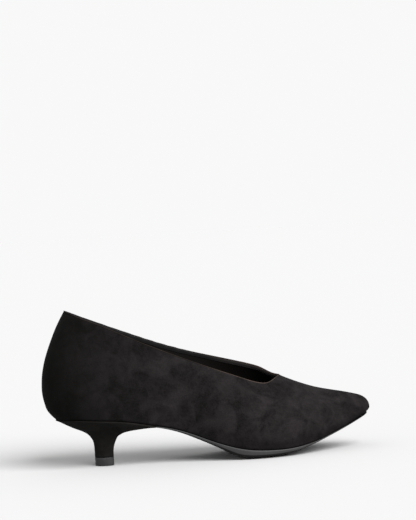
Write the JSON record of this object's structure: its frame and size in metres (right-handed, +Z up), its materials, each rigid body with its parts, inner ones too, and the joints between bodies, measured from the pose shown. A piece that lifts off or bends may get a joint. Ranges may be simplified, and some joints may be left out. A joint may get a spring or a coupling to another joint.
{
  "type": "kitten heel pump",
  "caption": "Pointed pump for a right foot with a low flared heel, high cut vamp with a rounded throat, thin outsole and rubber top lift.",
  "frame": {"origin": "centre of the shoe's box at the floor", "axes": "+Z up, +X from the heel to the toe, +Y to the inner side of the right foot"},
  "size_m": [0.2562, 0.0814, 0.1206],
  "materials": {
    "upper_suede": "black suede with a short nap",
    "insole_sock": "smooth near-black lining leather",
    "outsole_rubber": "dark grey, edge slightly glossy",
    "heel_suede": "black suede cover",
    "lift_rubber": "matt dark grey"
  },
  "bodies": {
    "root": {"upper": "upper_suede", "insole": "insole_sock", "outsole": "outsole_rubber", "heel": "heel_suede", "top_lift": "lift_rubber"}
  },
  "joints": []
}
